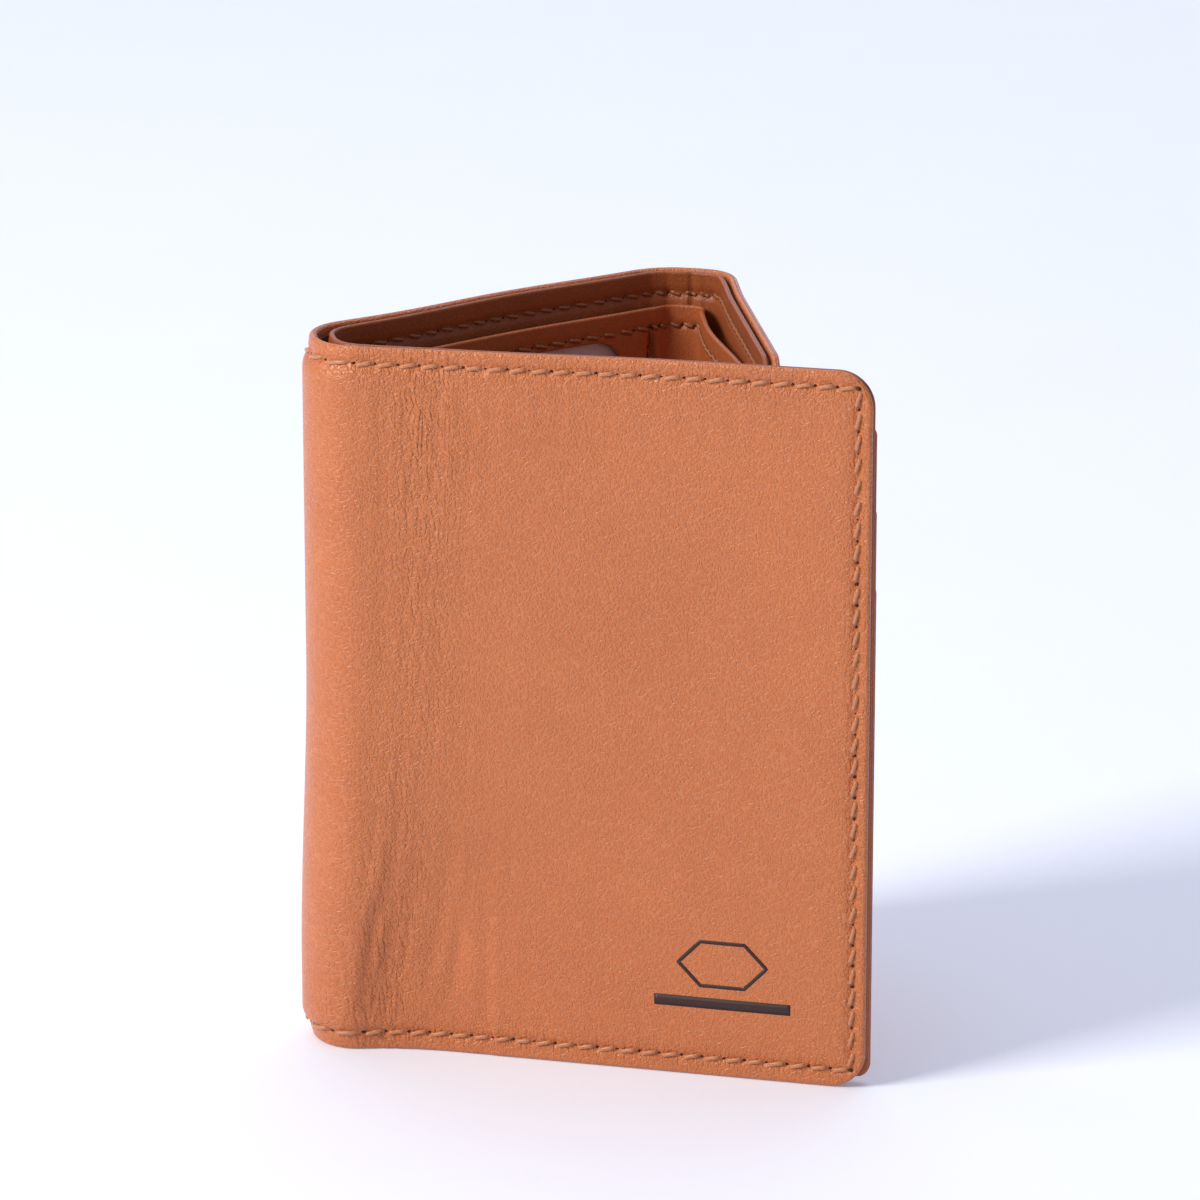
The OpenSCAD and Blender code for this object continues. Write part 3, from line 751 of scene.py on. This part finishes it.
def holes(stretch, rows, side, base, lie, pitch=PITCH, radius=0.34):
    """A low dome of painted shade at the start of each stitch, dark where the hole's shadow falls: height 0.16*(1-r^2)
    over the pit, r from 0 to 1 in four rings.
    """
    spots = np.concatenate([np.stack(np.broadcast_arrays(*(np.asarray(v, float) for v in row)), -1).reshape(-1, 3) for row in rows])
    r, a = np.linspace(1, 0.05, 4), np.linspace(0, 2 * np.pi, 9)[:-1]
    Rr, A = np.meshgrid(r, a, indexing="ij")
    way = np.where(spots[:, 2] > 0.1, np.pi / 2, 0.0)[:, None, None]
    U = spots[:, 0][:, None, None] + pitch / 2 * np.cos(way) + radius * Rr * np.cos(A) * 1.4
    Z = spots[:, 1][:, None, None] + pitch / 2 * np.sin(way) + radius * Rr * np.sin(A)
    middle = lie(spots[:, 0] + pitch / 2 * np.cos(way[:, 0, 0]), spots[:, 1] + pitch / 2 * np.sin(way[:, 0, 0]))[:, None, None]
    points = fold(stretch, U, Z, base + middle + side * (0.05 + 0.42 * (1 - Rr**2)))
    g = np.arange(U.size).reshape(U.shape)
    g = np.concatenate([g, g[:, :, :1]], 2)
    f = np.stack([g[:, :-1, :-1], g[:, 1:, :-1], g[:, 1:, 1:], g[:, :-1, 1:]], -1).reshape(-1, 4)
    f = f if side > 0 else f[:, ::-1]
    lids = np.concatenate([g[:, -1, :-1][:, :: -1 if side > 0 else 1], g[:, 0, :-1][:, :: 1 if side > 0 else -1]])
    return points.reshape(-1, 3), f.tolist() + lids.tolist(), np.stack([U, Z, 0 * U], -1).reshape(-1, 3)


def sew(name, stretch, groups, *nodes, body=None):
    """One mesh of several groups of rows and their holes, folded with the stretch or riding on a body."""
    points, faces, flats, slots = [], [], [], []
    for rows, side, base, lie in groups:
        for kind, made in enumerate((stitches(stretch, rows, side, base, lie), holes(stretch, rows, side, base, lie))):
            p, f, c = made
            start = sum(len(x) for x in points)
            points.append(p)
            flats.append(c)
            faces += [[v + start for v in q] for q in f]
            slots += [2 if kind else int(side > 0)] * len(f)
    obj = build(name, np.concatenate(points), faces, thread, np.concatenate(flats))
    # The inner rows take the darker copy of the thread, which is painted shade.
    obj.data.materials.append(shaded_inner_thread)
    # The hole domes take the near-black painted shade.
    obj.data.materials.append(hole_shade_mat)
    obj.data.polygons.foreach_set("material_index", slots)
    if body:
        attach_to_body(obj, body)
        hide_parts(*nodes)
    else:
        attach(obj, stretch, *nodes, slot="waxed_thread")
    print(name, len(faces), "faces")
    return obj


def row(stretch, u0, u1, z):
    """Stitch middles half a pitch from the holes along a row."""
    k = np.arange(math.ceil((u0 + ALONG[stretch]) / PITCH - 0.5), math.floor((u1 + ALONG[stretch]) / PITCH - 0.5) + 1)
    return (k + 0.5) * PITCH - ALONG[stretch], z, 0.0


def column(u, z0, z1, pitch, foot=0.0):
    """Stitch middles up a column."""
    k = np.arange(math.ceil((z0 - foot) / pitch - 0.5), math.floor((z1 - foot) / pitch - 0.5) + 1)
    return u, foot + (k + 0.5) * pitch, math.pi / 2 - 0.5


pulls = {st: framed_pull(st, *side) if side else rows_pull(st) for st, (_, _, _, _, side) in STRETCHES.items()}
for stretch, (a, b, ends, lie, side) in STRETCHES.items():
    outer_lie = total(pulls[stretch], lie or still, *SHAPES[stretch])
    u0, u1 = (LEFT if ends[0] else a), (RIGHT if ends[1] else b)
    out_rows = [row(stretch, u0, u1, TOP_ROW), row(stretch, u0, u1, FOOT_ROW)]
    top = WALL_ROW
    wall_pull = framed_pull(stretch, *side, top=top) if side else rows_pull(stretch, top)
    base = {"cover": wall_gap("cover"), "spine": total(lie or still, wall_gap("spine")),
            "fold": total(lie or still, wall_gap("fold"), fold_puckers("fold")), "flap": total(flap_round, fold_puckers("flap"))}[stretch]
    wall_lie = lambda U, Z, base=base, pull=wall_pull: base(U, Z) - pull(U, Z)
    in_rows = [row(stretch, u0, u1, top)]
    if side:
        out_rows.append(column(side[0], FOOT_ROW, TOP_ROW, COLUMN, FOOT_ROW))
    groups = [(out_rows, -1, 0.0, outer_lie), (in_rows, 1, WALL[1] - 0.14, wall_lie)]
    sew("thread_" + stretch, stretch, groups, *(n + "thread" for n in NODES[stretch]))

win_lie = lambda U, Z: window_rise(U, Z) - pocket_pull(U, Z)
win_rows = [row("fold", -F0, POCKET_END - 2.2, POCKET_ROW), row("fold", -F0, POCKET_END - 2.2, FOOT_ROW),
            column(SIDE_SEAM, FOOT_ROW, POCKET_TOP - 4.0, PITCH), column(POCKET_END - 2.2, FOOT_ROW, POCKET_TOP - 4.0, PITCH)]
sew("thread_window_pocket", "fold", [(win_rows, 1, WALL[1] + 0.8, win_lie)], "window_thread")
slip_lie = lambda U, Z: slip_rise(U, Z) - slip_pull(U, Z)
slip_rows = [row("flap", LEFT, F0, POCKET_ROW), row("flap", LEFT, F0, FOOT_ROW), column(LEFT, FOOT_ROW, POCKET_TOP - 4.0, PITCH)]
sew("thread_slip_pocket", "flap", [(slip_rows, 1, WALL[1] + 0.8, slip_lie)], "flap_pocket_thread")
slot_face = WALL[1] + 3 * SLOT_T
slot_rows = [row("cover", SLOTS_START + 3, RIGHT, FOOT_ROW), column(SLOTS_START + 3, FOOT_ROW, 76, PITCH), column(RIGHT, FOOT_ROW, 76, PITCH)]
sew("thread_card_slots", "cover", [(slot_rows, 1, slot_face, slot_lie)], "cover_slot_thread", body="cover")

# %% [markdown]
# ## Stamped mark
# The cover carries a small stamped mark near its lower right corner. Here it is a plain outlined
# hexagon over a bar. It is ink pressed into the hide, so it is a film a twentieth of a
# millimetre thick that follows the hide's own lie.


# %% Mark
def film(path_u, path_z, width, closed):
    """A flat ribbon of this width along a path: four points a step, across it and 0.05 mm through it, laid on the cover."""
    du, dz = (np.gradient(v) if not closed else (np.roll(v, -1) - np.roll(v, 1)) for v in (path_u, path_z))
    size = np.hypot(du, dz)
    side_u, side_z = -dz / size * width / 2, du / size * width / 2
    U = np.stack([path_u - side_u, path_u + side_u, path_u + side_u, path_u - side_u], 1)
    Z = np.stack([path_z - side_z, path_z + side_z, path_z + side_z, path_z - side_z], 1)
    N = cover_face(U, Z) + np.array([-0.035, -0.035, 0.015, 0.015])
    g = np.arange(U.size).reshape(U.shape)
    ring = np.concatenate([g, g[:1]]) if closed else g
    ring = np.concatenate([ring, ring[:, :1]], 1)
    f = quads(ring).reshape(-1, 4).tolist()
    if not closed:
        f += [g[0].tolist(), g[-1][::-1].tolist()]
    return fold("cover", U, Z, N).reshape(-1, 3), f, np.stack([U, Z, 0 * U], -1).reshape(-1, 3)


cover_face = total(pulls["cover"], *SHAPES["cover"])
MARK_U, MARK_Z = 58.9, 13.3
t = np.linspace(0, 2 * np.pi, 97)[:-1]
sixth = math.pi / 3
hexagon = math.cos(sixth / 2) / np.cos(np.mod(t, sixth) - sixth / 2)
parts = [film(MARK_U + 6.8 * hexagon * np.cos(t), MARK_Z + 4.4 + 4.0 * hexagon * np.sin(t), 0.55, True)]
parts.append(film(np.linspace(MARK_U - 10.5, MARK_U + 10.5, 43), np.full(43, MARK_Z - 1.8), 1.7, False))
starts = np.cumsum([0] + [len(p[0]) for p in parts[:-1]])
mark = build("stamped_mark", np.concatenate([p[0] for p in parts]), [[v + int(k) for v in f] for k, p in zip(starts, parts) for f in p[1]],
             ink, np.concatenate([p[2] for p in parts]))
attach(mark, "cover")
print("the mark has", len(mark.data.polygons), "faces")

# %% Stage and light
def room():
    """A pale floor that curves up into a backdrop: y and z follow a quarter circle behind the wallet."""
    s = np.linspace(-1.6, 3.4, 90)
    bend, rr = 1.2, 0.6
    t = np.clip((s - bend) / rr, 0, math.pi / 2)
    y = np.where(s < bend, s, bend + rr * np.sin(t))
    zz = np.where(s < bend, 0, rr * (1 - np.cos(t))) + np.maximum(0, s - bend - rr * math.pi / 2)
    x = np.linspace(-2.5, 2.5, 12)
    X, Y = np.meshgrid(x, y, indexing="ij")
    Zr = np.broadcast_to(zz, X.shape)
    g = np.arange(X.size).reshape(X.shape)
    quads = np.stack([g[:-1, :-1], g[1:, :-1], g[1:, 1:], g[:-1, 1:]], -1).reshape(-1, 4)
    pts = np.stack([X, Y, Zr - 0.0001], -1)
    return build("floor", pts, quads.tolist(), floor_paper, pts.reshape(-1, 3) * 1000)


floor_paper, _, floor_shader = plain("seamless_paper_roll_matt", "EDF2FE", "EAEFFB", 0.9, 0.02, 0.001)
floor_shader.inputs["Emission Color"].default_value = srgb("E8ECFF")
floor_shader.inputs["Emission Strength"].default_value = 0.17
room()
world = bpy.data.worlds.new("soft_box")
scene.world = world
world.use_nodes = True
background = world.node_tree.nodes["Background"]
background.inputs[0].default_value = srgb("EEF2FF")
background.inputs[1].default_value = 0.3


def lamp(name, where, at, size, power, colour="FFFFFF"):
    """A square soft light of this size (m) at where, turned to face at."""
    light = bpy.data.lights.new(name, "AREA")
    light.size, light.energy, light.color = size, power, srgb(colour)[:3]
    obj = bpy.data.objects.new(name, light)
    scene.collection.objects.link(obj)
    obj.location = where
    obj.rotation_mode = "QUATERNION"
    obj.rotation_quaternion = (Vector(at) - Vector(where)).to_track_quat("-Z", "Y")
    return obj


key = lamp("key", (-0.88, -0.86, 0.95), (0, 0, 0.05), 0.5, 19.4, "FFF8EE")
back_light = lamp("back_light", (-0.3, 0.75, 1.9), (0, 0.1, 0), 2.0, 17.0, "EEF2FF")
